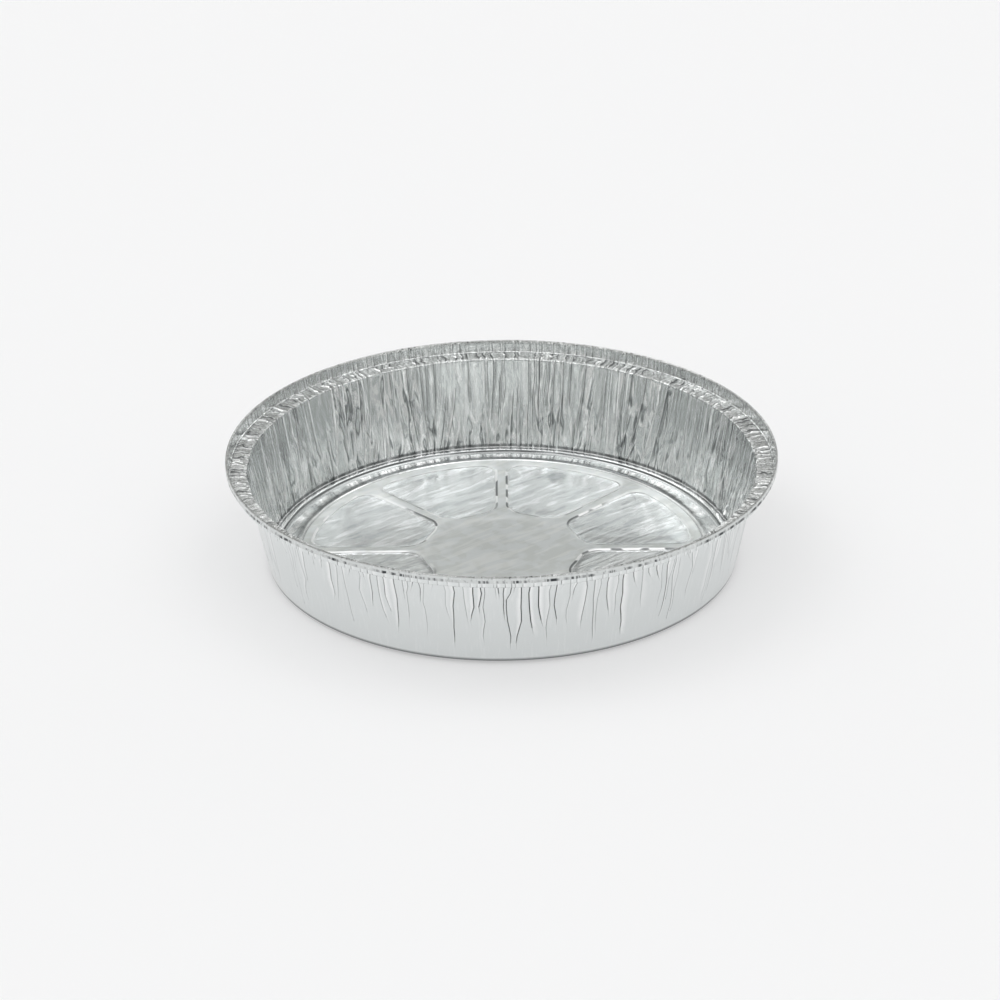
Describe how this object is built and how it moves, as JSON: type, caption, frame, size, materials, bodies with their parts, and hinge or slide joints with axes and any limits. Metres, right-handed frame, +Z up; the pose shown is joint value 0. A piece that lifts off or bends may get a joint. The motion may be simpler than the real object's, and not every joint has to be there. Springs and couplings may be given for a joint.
{
  "type": "foil pie tin",
  "caption": "Round deep foil pie tin with a pleated tapered wall, flanged and hemmed rim, stepped base ring, and a floor stiffened by radial ribs.",
  "frame": {"origin": "centre of the circle that the tin stands on, at table height", "axes": "+Z up through the middle of the tin, out of its open mouth; +X along one of the floor's spokes"},
  "size_m": [0.228, 0.228, 0.0467],
  "materials": {
    "foil": "bright rolled foil, smooth and satin on the floor, sharply creased on the wall"
  },
  "bodies": {
    "root": {"pan": "foil"}
  },
  "joints": []
}
